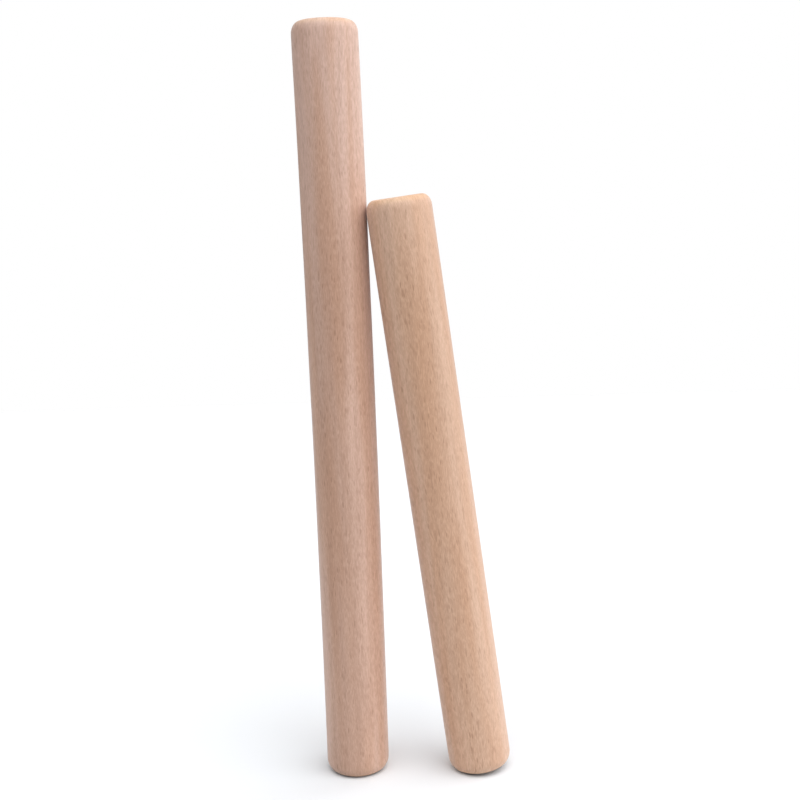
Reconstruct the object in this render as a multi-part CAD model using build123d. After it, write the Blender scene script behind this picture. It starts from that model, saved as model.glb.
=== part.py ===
"""A pair of claves: two solid, turned beech sticks of one thickness and two lengths.

Both stand on end. The long clave is upright on its flat foot. The short clave leans on it:
its foot is set a little way off, so that it stands on the rim of its foot and its upper
shoulder touches the side of the long one. Its top comes a little towards the front.

The origin is the centre of the long clave's foot, +Z is up, the front is -Y, and the short
clave stands towards +X. Lengths are in millimetres and angles in degrees.
"""
from build123d import *
from math import cos, hypot, radians, sin
import os

# Sticks
STICK_DIAMETER = 25.0
LONG_LENGTH = 293.0
SHORT_LENGTH = 228.5

# Sanded end edges, a quarter of an ellipse: how far it comes in from the side and along the stick
EDGE_IN = 3.5
EDGE_ALONG = 4.5

# How the short clave stands: its lean, how far the lean is turned to the front, and the hair's
# breadth that keeps the two sticks apart where they touch
LEAN = 6.3
LEAN_TURN = 8.0
TOUCH_GAP = 0.2

# Where the short clave starts before it is slid up to the long one, and in how many moves it gets there
FAR_OFF = 80.0
SLIDES = 6

RADIUS = STICK_DIAMETER / 2
FACE_RADIUS = RADIUS - EDGE_IN


def clave(length):
    """One upright stick: a turned cylinder with flat ends and rounded-over end edges."""
    with BuildPart() as stick:
        with BuildSketch(Plane.XZ):
            with BuildLine():
                Line((0, 0), (FACE_RADIUS, 0))
                EllipticalCenterArc((FACE_RADIUS, EDGE_ALONG), EDGE_IN, EDGE_ALONG, 270, arc_size=90)
                Line((RADIUS, EDGE_ALONG), (RADIUS, length - EDGE_ALONG))
                EllipticalCenterArc((FACE_RADIUS, length - EDGE_ALONG), EDGE_IN, EDGE_ALONG, 0, arc_size=90)
                Line((FACE_RADIUS, length), (0, length))
                Line((0, length), (0, 0))
            make_face()
        revolve(axis=Axis.Z)
    return stick.part


def leaning(stick):
    """The stick tipped over, with the rim of its foot on the floor and its foot FAR_OFF towards +X."""
    tilt = radians(LEAN)
    rim_drop = hypot(EDGE_IN * sin(tilt), EDGE_ALONG * cos(tilt))
    lift = FACE_RADIUS * sin(tilt) - EDGE_ALONG * cos(tilt) + rim_drop
    return Pos(FAR_OFF, 0, lift) * Rot(0, 0, LEAN_TURN) * Rot(0, -LEAN, 0) * stick


def slid_up_to(stick, other):
    """The stick moved towards -X until it all but touches the other. No move can overshoot."""
    for _ in range(SLIDES):
        stick = Pos(TOUCH_GAP - stick.distance_to(other), 0, 0) * stick
    return stick


long_clave = clave(LONG_LENGTH)
short_clave = slid_up_to(leaning(clave(SHORT_LENGTH)), long_clave)

os.makedirs("parts", exist_ok=True)
for node, shape in {"long_clave": long_clave, "short_clave": short_clave}.items():
    export_step(shape, f"parts/{node}.step")
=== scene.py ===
"""A pair of beech claves standing on end, the short one leaning on the long one."""

from math import cos, hypot, pi, radians, sin

import bmesh
import bpy
from mathutils import Matrix, Vector, noise


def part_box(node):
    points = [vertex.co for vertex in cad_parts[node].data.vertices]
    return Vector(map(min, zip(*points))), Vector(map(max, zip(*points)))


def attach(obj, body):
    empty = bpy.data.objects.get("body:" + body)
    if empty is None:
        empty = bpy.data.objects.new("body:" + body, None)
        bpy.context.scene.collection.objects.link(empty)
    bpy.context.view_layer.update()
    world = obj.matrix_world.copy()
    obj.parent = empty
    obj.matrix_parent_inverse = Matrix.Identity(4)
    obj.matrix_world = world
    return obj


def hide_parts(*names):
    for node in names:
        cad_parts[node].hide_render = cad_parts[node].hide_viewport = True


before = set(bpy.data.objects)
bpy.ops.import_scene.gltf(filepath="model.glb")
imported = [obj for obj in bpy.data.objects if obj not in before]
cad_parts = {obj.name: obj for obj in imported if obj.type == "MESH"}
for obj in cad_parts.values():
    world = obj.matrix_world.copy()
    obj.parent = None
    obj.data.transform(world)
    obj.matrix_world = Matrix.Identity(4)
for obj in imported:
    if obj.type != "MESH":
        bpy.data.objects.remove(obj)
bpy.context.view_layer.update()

MM = 0.001

# The sticks. The end edges are a quarter of an ellipse, as in the CAD part.
EDGE_IN = 3.5 * MM
EDGE_ALONG = 4.5 * MM
# The short clave's lean to the left, and how far that lean is turned to the front
LEAN = radians(6.3)
LEAN_TURN = radians(8)
# The long clave is bowed, with its middle towards the short one. The bow leaves the stick in place
# at this share of its half length, where the two sticks touch.
BOW = 0.6 * MM
BOW_STILL_AT = 0.53

# How finely the sticks are divided: round about, along the side, and over the end edges and flat ends
STEPS_ROUND = 144
RING_SPACING = 2.5 * MM
EDGE_STEPS = 10
FACE_STEPS = 5
SAME_POINT = 0.001 * MM

# How far hand sanding leaves the side and the end edges from true, how far the uneven edge reaches,
# and the length over which the side goes in and out
SIDE_UNTRUE = 0.06 * MM
EDGE_UNTRUE = 0.22 * MM
EDGE_REACH = 2.5 * EDGE_ALONG
SANDING_LENGTH = 40 * MM

# The camera stands lower than the top of the long clave and looks slightly down.
CAMERA_PLACE = (51.5 * MM, -454.8 * MM, 226.1 * MM)
CAMERA_PITCH = radians(9.39)
CAMERA_YAW = radians(-3.68)
CAMERA_ROLL = radians(-2.22)
CAMERA_LENS = 53.78
CAMERA_SENSOR = 36.0
CAMERA_NEAREST = 10 * MM

# The tent of light: how bright it is all round, and how much more to the right, the back and the top.
# Its sides start to glow at the floor and have their full glow at this height, the zenith being 1.
TENT_LEVEL = 0.08
TENT_TO_RIGHT = 1.95
TENT_TO_BACK = 0.6
TENT_TO_TOP = 0.35
TENT_RISE = 0.1

# Two high softboxes in front, one on each side. A way is an angle round from the right.
SOFTBOX_DISTANCE = 6.0
SOFTBOX_SIZE = 5.0
SOFTBOX_HEIGHT = radians(60)
KEY_WAY = radians(-40)
KEY_POWER = 170.0
FILL_WAY = radians(-130)
FILL_POWER = 154.0

FLOOR_HALF = 0.9
FLOOR_WHITE = (0.765, 0.785, 0.81, 1.0)
FLOOR_ROUGHNESS = 0.9

# The colours of the two sticks: the warm and the pale wood, and then the tints that multiply them: painted
# light on the top, the zone next to the heartwood, the parts of the grain, the end grain with a painted
# highlight, and painted shade at the foot
LONG_TONES = {
    "warm": (0.63, 0.393, 0.285, 1.0),
    "pale": (0.675, 0.458, 0.367, 1.0),
    # The next tint is painted light: it makes the upper part of each stick paler and cooler, as if more
    # light fell there.
    "top": (1.08, 1.13, 1.20, 1.0),
    "heart": (0.84, 0.815, 0.79, 1.0),
    "late": (0.88, 0.84, 0.81, 1.0),
    "streak": (0.90, 0.87, 0.85, 1.0),
    "fibre": (0.90, 0.87, 0.84, 1.0),
    "mottle": (0.88, 0.85, 0.82, 1.0),
    "fleck": (0.68, 0.60, 0.54, 1.0),
    # The next tint is a painted highlight: it makes the end edges lighter and yellower, where they catch
    # light from above.
    "end": (1.07, 1.08, 1.0, 1.0),
    # The last tint is painted shade: it darkens the rim that the stick stands on, for the contact shadow
    # under it.
    "painted_foot_shade": (0.42, 0.36, 0.31, 1.0),
}
SHORT_TONES = dict(LONG_TONES, warm=(0.655, 0.407, 0.273, 1.0), pale=(0.69, 0.468, 0.345, 1.0),
                   heart=(0.93, 0.91, 0.885, 1.0), top=(1.05, 1.08, 1.12, 1.0))

# Where the trunk's pith lies from the middle of each stick, how it is turned and how far off it is,
# and the distance between growth rings. Lengths are in millimetres.
LONG_PITH = {"place": (18.0, 62.0, 0.0), "turn": (radians(0.7), radians(-0.9), radians(-106)),
             "distance": 65.0, "ring": 2.3}
SHORT_PITH = {"place": (-30.0, 70.0, 0.0), "turn": (radians(-0.8), radians(1.2), radians(-67)),
              "distance": 76.0, "ring": 2.6}

# The browner zone next to the heartwood: its place and radius, and where along the stick it gives way
# to the painted light on the top. Lengths are in millimetres from the middle of the stick.
LONG_HEART = {"x": -3.5, "y": -15.0, "radius": 8.0, "top_light_from": 10.0, "top_light_to": 150.0}
SHORT_HEART = {"x": -2.0, "y": -15.0, "radius": 6.5, "top_light_from": 70.0, "top_light_to": 118.0}

# How far along the trunk each stick was cut, in millimetres, and where its sanding pattern starts
LONG_CUT_AT = 310.0
SHORT_CUT_AT = 1250.0
LONG_SANDING = 2.0
SHORT_SANDING = 9.0

# The depths from an end where end grain and its painted highlight start to show and show fully, the heights
# above the foot where the painted shade starts and is darkest, and half the width of the browner zone's soft
# edge, all in millimetres
END_GRAIN_AND_HIGHLIGHT_FROM = 2.6
END_GRAIN_AND_HIGHLIGHT_FULL = 0.9
PAINTED_FOOT_SHADE_FROM = 1.3
PAINTED_FOOT_SHADE_FULL = 0.35
HEART_EDGE = 4.0

# The surface: bare wood with a soft sheen and a shallow grain
SHEEN = 0.2
SHEEN_ROUGHNESS = 0.4
GRAIN_STRENGTH = 0.5
GRAIN_DEPTH = 0.05 * MM


# ---------------------------------------------------------------- camera

def make_camera():
    """The camera, hand-held with a slight roll."""
    data = bpy.data.cameras.new("camera")
    data.sensor_width = CAMERA_SENSOR
    data.lens = CAMERA_LENS
    data.clip_start = CAMERA_NEAREST
    camera = bpy.data.objects.new("camera", data)
    turn = Matrix.Rotation(-CAMERA_YAW, 4, "Z") @ Matrix.Rotation(pi / 2 - CAMERA_PITCH, 4, "X")
    camera.matrix_world = Matrix.Translation(CAMERA_PLACE) @ turn @ Matrix.Rotation(CAMERA_ROLL, 4, "Z")
    bpy.context.scene.collection.objects.link(camera)
    bpy.context.scene.camera = camera


# ---------------------------------------------------------------- shader expressions

class Wire:
    """A value in a material. Arithmetic on wires adds Math nodes, and node() adds any other node."""

    def __init__(self, tree, socket=None):
        self.tree, self.socket = tree, socket

    def node(self, kind, settings, inputs, output=0):
        """Adds a node: first its settings, then a plain value or a wire on each of its inputs."""
        made = self.tree.nodes.new("ShaderNode" + kind)
        for name, value in settings.items():
            setattr(made, name, value)
        for key, value in inputs.items():
            if isinstance(value, Wire):
                self.tree.links.new(value.socket, made.inputs[key])
            else:
                made.inputs[key].default_value = value
        return Wire(self.tree, made.outputs[output])

    def maths(self, operation, first, second=0.0):
        return self.node("Math", {"operation": operation}, {0: first, 1: second})

    def __add__(self, other):
        return self.maths("ADD", self, other)

    def __sub__(self, other):
        return self.maths("SUBTRACT", self, other)

    def __rsub__(self, other):
        return self.maths("SUBTRACT", other, self)

    def __mul__(self, other):
        return self.maths("MULTIPLY", self, other)

    def __truediv__(self, other):
        return self.maths("DIVIDE", self, other)

    def __pow__(self, other):
        return self.maths("POWER", self, other)

    def __abs__(self):
        return self.maths("ABSOLUTE", self)

    __radd__ = __add__
    __rmul__ = __mul__


def soft_step(value, low, high, start=0.0, end=1.0):
    """Goes smoothly from start to end as the value goes from low to high."""
    return value.node("MapRange", {"interpolation_type": "SMOOTHSTEP"},
                      {"Value": value, "From Min": low, "From Max": high, "To Min": start, "To Max": end})


def point(x, y, z):
    return x.node("CombineXYZ", {}, {0: x, 1: y, 2: z})


def cloud(x, y, z, detail=2.0, roughness=0.5, output="Fac"):
    """Smooth noise from 0 to 1 at a point."""
    return x.node("TexNoise", {}, {"Vector": point(x, y, z), "Scale": 1.0, "Detail": detail,
                                   "Roughness": roughness}, output)


def blend_colour(factor, first, second):
    return factor.node("Mix", {"data_type": "RGBA"}, {0: factor, 6: first, 7: second}, 2)


def shade_colour(factor, colour, tint):
    """The colour, multiplied by the tint as far as the factor says."""
    return factor.node("Mix", {"data_type": "RGBA", "blend_type": "MULTIPLY"},
                       {0: factor, 6: colour, 7: tint}, 2)


# ---------------------------------------------------------------- light and floor

def make_softbox(name, way, power):
    """A square soft light, high up, that faces the sticks."""
    data = bpy.data.lights.new(name, "AREA")
    data.shape = "SQUARE"
    data.size = SOFTBOX_SIZE
    data.energy = power
    lamp = bpy.data.objects.new(name, data)
    out = Vector((cos(SOFTBOX_HEIGHT) * cos(way), cos(SOFTBOX_HEIGHT) * sin(way), sin(SOFTBOX_HEIGHT)))
    lamp.location = out * SOFTBOX_DISTANCE
    lamp.rotation_euler = out.to_track_quat("Z", "Y").to_euler()
    bpy.context.scene.collection.objects.link(lamp)


def make_studio():
    """Soft light from a white tent, brightest to the right, on a white paper floor."""
    scene = bpy.context.scene
    scene.view_settings.view_transform = "Standard"
    world = bpy.data.worlds.new("white_tent")
    world.use_nodes = True
    scene.world = world
    sky = Wire(world.node_tree)
    way = sky.node("TexCoord", {}, {}, "Generated")
    right, back, up = (sky.maths("MAXIMUM", sky.node("SeparateXYZ", {}, {0: way}, i), 0.0) for i in range(3))
    sides = (right * TENT_TO_RIGHT + back * TENT_TO_BACK) * soft_step(up, 0.0, TENT_RISE)
    glow = sides + up * up * TENT_TO_TOP + TENT_LEVEL
    seen = sky.node("LightPath", {}, {}, "Is Camera Ray")
    strength = seen.node("Mix", {}, {0: seen, 2: glow, 3: 1.0}, 0)
    world.node_tree.links.new(strength.socket, world.node_tree.nodes["Background"].inputs["Strength"])
    world.node_tree.nodes["Background"].inputs["Color"].default_value = (1.0, 1.0, 1.0, 1.0)
    make_softbox("key", KEY_WAY, KEY_POWER)
    make_softbox("fill", FILL_WAY, FILL_POWER)

    bm = bmesh.new()
    bmesh.ops.create_grid(bm, x_segments=1, y_segments=1, size=FLOOR_HALF)
    mesh = bpy.data.meshes.new("floor")
    bm.to_mesh(mesh)
    bm.free()
    floor = bpy.data.objects.new("floor", mesh)
    scene.collection.objects.link(floor)
    paint = bpy.data.materials.new("floor_paper")
    paint.use_nodes = True
    shader = paint.node_tree.nodes["Principled BSDF"]
    shader.inputs["Base Color"].default_value = FLOOR_WHITE
    shader.inputs["Roughness"].default_value = FLOOR_ROUGHNESS
    shader.inputs["Specular IOR Level"].default_value = 0.0
    mesh.materials.append(paint)


# ---------------------------------------------------------------- beech

def make_beech(name, stick, tones, pith, heart, cut_at):
    """Bare sanded beech, cut out of a trunk whose pith lies off to one side of the stick.

    Lengths are in millimetres. The pattern is solid: growth rings about the pith, rays that run
    out from it and show as short dashes on the side and as fine lines on the end, fibres and pores.
    """
    material = bpy.data.materials.new(name)
    material.use_nodes = True
    tree = material.node_tree
    shader = tree.nodes["Principled BSDF"]
    start = Wire(tree)

    coords = start.node("TexCoord", {}, {}, "Object")
    in_stick = start.node("Mapping", {"vector_type": "TEXTURE"},
                          {"Vector": coords, "Location": stick["centre"],
                           "Rotation": (0.0, -stick["lean"], stick["turn"]), "Scale": (MM, MM, MM)})
    in_trunk = start.node("Mapping", {"vector_type": "TEXTURE"},
                          {"Vector": in_stick, "Location": pith["place"], "Rotation": pith["turn"]})
    along = start.node("SeparateXYZ", {}, {0: in_stick}, 2)
    px, py, pz = (start.node("SeparateXYZ", {}, {0: in_trunk}, i) for i in range(3))
    pz = pz + cut_at

    # The grain wanders a little along the trunk.
    drift = cloud(px / 22, py / 22, pz / 95, 1.0, output="Color")
    bend_x, bend_y = (start.node("SeparateColor", {}, {0: drift}, i) - 0.5 for i in range(2))
    px = px + bend_x * 4
    py = py + bend_y * 3
    radius = (px * px + py * py) ** 0.5
    turn = start.maths("ARCTAN2", py, px)
    round_trunk = turn * pith["distance"]

    # Growth rings: pale early wood, darker late wood and a thin boundary.
    ring = radius / pith["ring"] + cloud(radius / 7, 0.0, pz / 400, 0.0) * 1.5
    phase = start.maths("FRACT", ring)
    ring_number = start.maths("FLOOR", ring)
    ring_tone = start.node("TexWhiteNoise", {"noise_dimensions": "1D"}, {"W": ring_number}, "Value")
    late_wood = soft_step(phase, 0.25, 0.9) * soft_step(phase, 0.93, 1.0, 1.0, 0.0)

    # Rays: thin, short and deep bodies that point away from the pith.
    wavy = cloud(px / 1.6, py / 1.6, pz / 5, 1.0) - 0.5

    def rays(width, height, depth, seed):
        """Rays of one size in millimetres, each with its own strength."""
        where = point(round_trunk / width + wavy * 0.9, pz / height + seed, radius / depth)
        settings = {"voronoi_dimensions": "3D", "feature": "F1"}
        inputs = {"Vector": where, "Scale": 1.0}
        distance = start.node("TexVoronoi", settings, inputs, "Distance")
        chance = start.node("SeparateColor", {}, {0: start.node("TexVoronoi", settings, inputs, "Color")}, 0)
        size = chance * 0.2 + 0.22
        return soft_step(distance / size, 0.5, 1.0, 1.0, 0.0) * (chance * chance * 0.8 + 0.2)

    fine_rays = rays(0.6, 3.8, 6.0, 0.0)
    bold_rays = rays(0.9, 6.5, 12.0, 40.0)
    flecks = start.maths("MAXIMUM", fine_rays * 0.6, bold_rays * 0.38)

    # Fibres and broad changes of colour, drawn out along the grain.
    fibres = cloud(px / 0.16, py / 0.16, pz / 7, 3.0, 0.6)
    streaks = cloud(px / 1.3, py / 1.3, pz / 60, 2.0)
    broad = cloud(px / 7, py / 7, pz / 120, 1.0)
    mottle = cloud(round_trunk / 0.26 + wavy * 1.5, radius / 2.5, pz / 2.3, 1.0)
    pores = soft_step(cloud(px / 0.09, py / 0.09, pz / 1.1, 0.0), 0.66, 0.76)

    # A browner zone runs down the front, as if the stick had been cut next to the heartwood.
    sx, sy = (start.node("SeparateXYZ", {}, {0: in_stick}, i) for i in range(2))
    wander = (cloud(sx / 30, sy / 30, along / 45, 1.0) - 0.5) * 9
    to_heart = ((sx - heart["x"] + wander) ** 2 + (sy - heart["y"]) ** 2) ** 0.5
    # Painted light: the upper part of the stick is made paler, and the browner zone fades out there.
    painted_top_light = soft_step(along, heart["top_light_from"], heart["top_light_to"])
    in_heart = soft_step(to_heart, heart["radius"] + HEART_EDGE, heart["radius"] - HEART_EDGE)
    heart_wood = in_heart * (1.0 - painted_top_light)

    # End grain shows on the flat ends and on the outer part of their edges; its tint there is a painted
    # highlight.
    half_length = stick["length"] / MM / 2
    from_end = half_length - abs(along)
    end_grain_and_highlight = soft_step(from_end, END_GRAIN_AND_HIGHLIGHT_FROM, END_GRAIN_AND_HIGHLIGHT_FULL)

    # Painted shade: the rim that the stick stands on is darkened in patches, for the contact shadow under
    # it.
    above_foot = along + half_length
    patchy = 0.75 + cloud(sx / 4, sy / 4, along, 2.0) * 0.5
    painted_foot_shade = soft_step(above_foot, PAINTED_FOOT_SHADE_FROM, PAINTED_FOOT_SHADE_FULL) * patchy

    # The colour: wide changes first, then finer ones, then the ends with their painted highlight and the
    # foot with its painted shade. A factor above 1 counts as 1.
    colour = blend_colour(soft_step(broad, 0.3, 0.7), tones["warm"], tones["pale"])
    colour = shade_colour(heart_wood, colour, tones["heart"])
    # Painted light on the upper part of the stick
    colour = shade_colour(painted_top_light, colour, tones["top"])
    colour = shade_colour(late_wood * 0.32 + ring_tone * 0.25, colour, tones["late"])
    colour = shade_colour(soft_step(streaks, 0.35, 0.75) * 0.45, colour, tones["streak"])
    colour = shade_colour(soft_step(fibres, 0.3, 0.75) * 0.65, colour, tones["fibre"])
    colour = shade_colour(soft_step(mottle, 0.3, 0.7) * (heart_wood * 0.4 + 1.2), colour, tones["mottle"])
    colour = shade_colour(flecks * (heart_wood * 0.5 + 0.8), colour, tones["fleck"])
    colour = shade_colour(pores * 0.4, colour, tones["fleck"])
    # Painted highlight on the end edges
    colour = shade_colour(end_grain_and_highlight, colour, tones["end"])
    # Painted shade on the rim of the foot
    colour = shade_colour(painted_foot_shade, colour, tones["painted_foot_shade"])
    tree.links.new(colour.socket, shader.inputs["Base Color"])

    rough = 0.44 + fibres * 0.12 - flecks * 0.08 + end_grain_and_highlight * 0.1
    tree.links.new(rough.socket, shader.inputs["Roughness"])

    # Sanding on the lathe leaves fine scratches round the stick.
    sanding = cloud(px / 5, py / 5, pz / 0.14, 2.0)
    height = fibres * 0.5 - flecks * 0.35 - pores * 0.5 + sanding * 0.12 + late_wood * 0.15
    bump = start.node("Bump", {}, {"Height": height, "Strength": GRAIN_STRENGTH, "Distance": GRAIN_DEPTH})
    tree.links.new(bump.socket, shader.inputs["Normal"])

    shader.inputs["Sheen Weight"].default_value = SHEEN
    shader.inputs["Sheen Roughness"].default_value = SHEEN_ROUGHNESS
    return material


# ---------------------------------------------------------------- the sticks

def stick_from_box(node, radius, lean, turn):
    """Where a CAD stick stands: its centre and length, from the corners of its box."""
    low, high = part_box(node)
    face = radius - EDGE_IN
    rim = face * sin(lean) + hypot(EDGE_IN * sin(lean), EDGE_ALONG * cos(lean))
    length = 2 * (((high.z - low.z) / 2 - rim) / cos(lean) + EDGE_ALONG)
    return {"centre": (low + high) / 2, "length": length, "radius": radius, "lean": lean, "turn": turn}


def stick_profile(stick):
    """Half of the stick's long section, from the middle of its foot to the middle of its top."""
    half = stick["length"] / 2
    face = stick["radius"] - EDGE_IN
    shoulder = half - EDGE_ALONG
    side_steps = round(2 * shoulder / RING_SPACING)
    top = [(stick["radius"], shoulder)]
    for i in range(1, EDGE_STEPS + 1):
        angle = pi / 2 * i / EDGE_STEPS
        top.append((face + EDGE_IN * cos(angle), shoulder + EDGE_ALONG * sin(angle)))
    top += [(face * (1 - i / FACE_STEPS), half) for i in range(1, FACE_STEPS + 1)]
    side = [(stick["radius"], shoulder * (2 * i / side_steps - 1)) for i in range(1, side_steps)]
    foot = [(x, -z) for x, z in reversed(top)]
    return foot + side + top


def sand_unevenly(bm, stick, seed):
    """Hand sanding leaves the end edges a little uneven, and the side not quite true."""
    half = stick["length"] / 2
    for vert in bm.verts:
        out = Vector((vert.co.x, vert.co.y, 0.0))
        if out.length < SAME_POINT:
            continue
        nearness = max(0.0, 1.0 - (half - abs(vert.co.z)) / EDGE_REACH)
        rim = min(1.0, out.length / stick["radius"]) ** 4
        way = out.normalized()
        spot = Vector((way.x * 1.3, way.y * 1.3, vert.co.z / SANDING_LENGTH + seed))
        side_by = SIDE_UNTRUE * (noise.noise(spot) - 0.3)
        edge_by = EDGE_UNTRUE * nearness * rim * (noise.noise(spot * 1.7 + Vector((7, 3, seed))) - 0.4)
        vert.co += way * (side_by * rim + edge_by)


def bend(bm, stick, bow):
    """A long thin stick of wood never stays quite straight."""
    for vert in bm.verts:
        vert.co.x += bow * (BOW_STILL_AT ** 2 - (2 * vert.co.z / stick["length"]) ** 2)


def make_stick(name, node, body, stick, bow, material, seed):
    """A solid turned stick with flat ends and rounded-over end edges, standing where the CAD one does."""
    bm = bmesh.new()
    verts = [bm.verts.new((x, 0.0, z)) for x, z in stick_profile(stick)]
    edges = [bm.edges.new(pair) for pair in zip(verts, verts[1:])]
    bmesh.ops.spin(bm, geom=verts + edges, cent=(0, 0, 0), axis=(0, 0, 1), angle=2 * pi,
                   steps=STEPS_ROUND, use_merge=True)
    bmesh.ops.remove_doubles(bm, verts=bm.verts, dist=SAME_POINT)
    bmesh.ops.recalc_face_normals(bm, faces=bm.faces)
    sand_unevenly(bm, stick, seed)
    bend(bm, stick, bow)
    tip = Matrix.Rotation(stick["turn"], 3, "Z") @ Matrix.Rotation(-stick["lean"], 3, "Y")
    bmesh.ops.rotate(bm, verts=bm.verts, cent=(0, 0, 0), matrix=tip)
    bmesh.ops.translate(bm, verts=bm.verts, vec=stick["centre"])
    for face in bm.faces:
        face.smooth = True
    mesh = bpy.data.meshes.new(name)
    bm.to_mesh(mesh)
    bm.free()
    mesh.materials.append(material)
    piece = bpy.data.objects.new(name, mesh)
    bpy.context.scene.collection.objects.link(piece)
    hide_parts(node)
    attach(piece, body)


make_camera()
make_studio()

long_low, long_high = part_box("long_clave")
stick_radius = (long_high.y - long_low.y) / 2
long_stick = stick_from_box("long_clave", stick_radius, 0.0, 0.0)
short_stick = stick_from_box("short_clave", stick_radius, LEAN, LEAN_TURN)
long_beech = make_beech("pinkish_beech", long_stick, LONG_TONES, LONG_PITH, LONG_HEART, LONG_CUT_AT)
short_beech = make_beech("golden_beech", short_stick, SHORT_TONES, SHORT_PITH, SHORT_HEART, SHORT_CUT_AT)
make_stick("long_clave_wood", "long_clave", "long_clave_body",
           long_stick, BOW, long_beech, LONG_SANDING)
make_stick("short_clave_wood", "short_clave", "short_clave_body",
           short_stick, 0.0, short_beech, SHORT_SANDING)
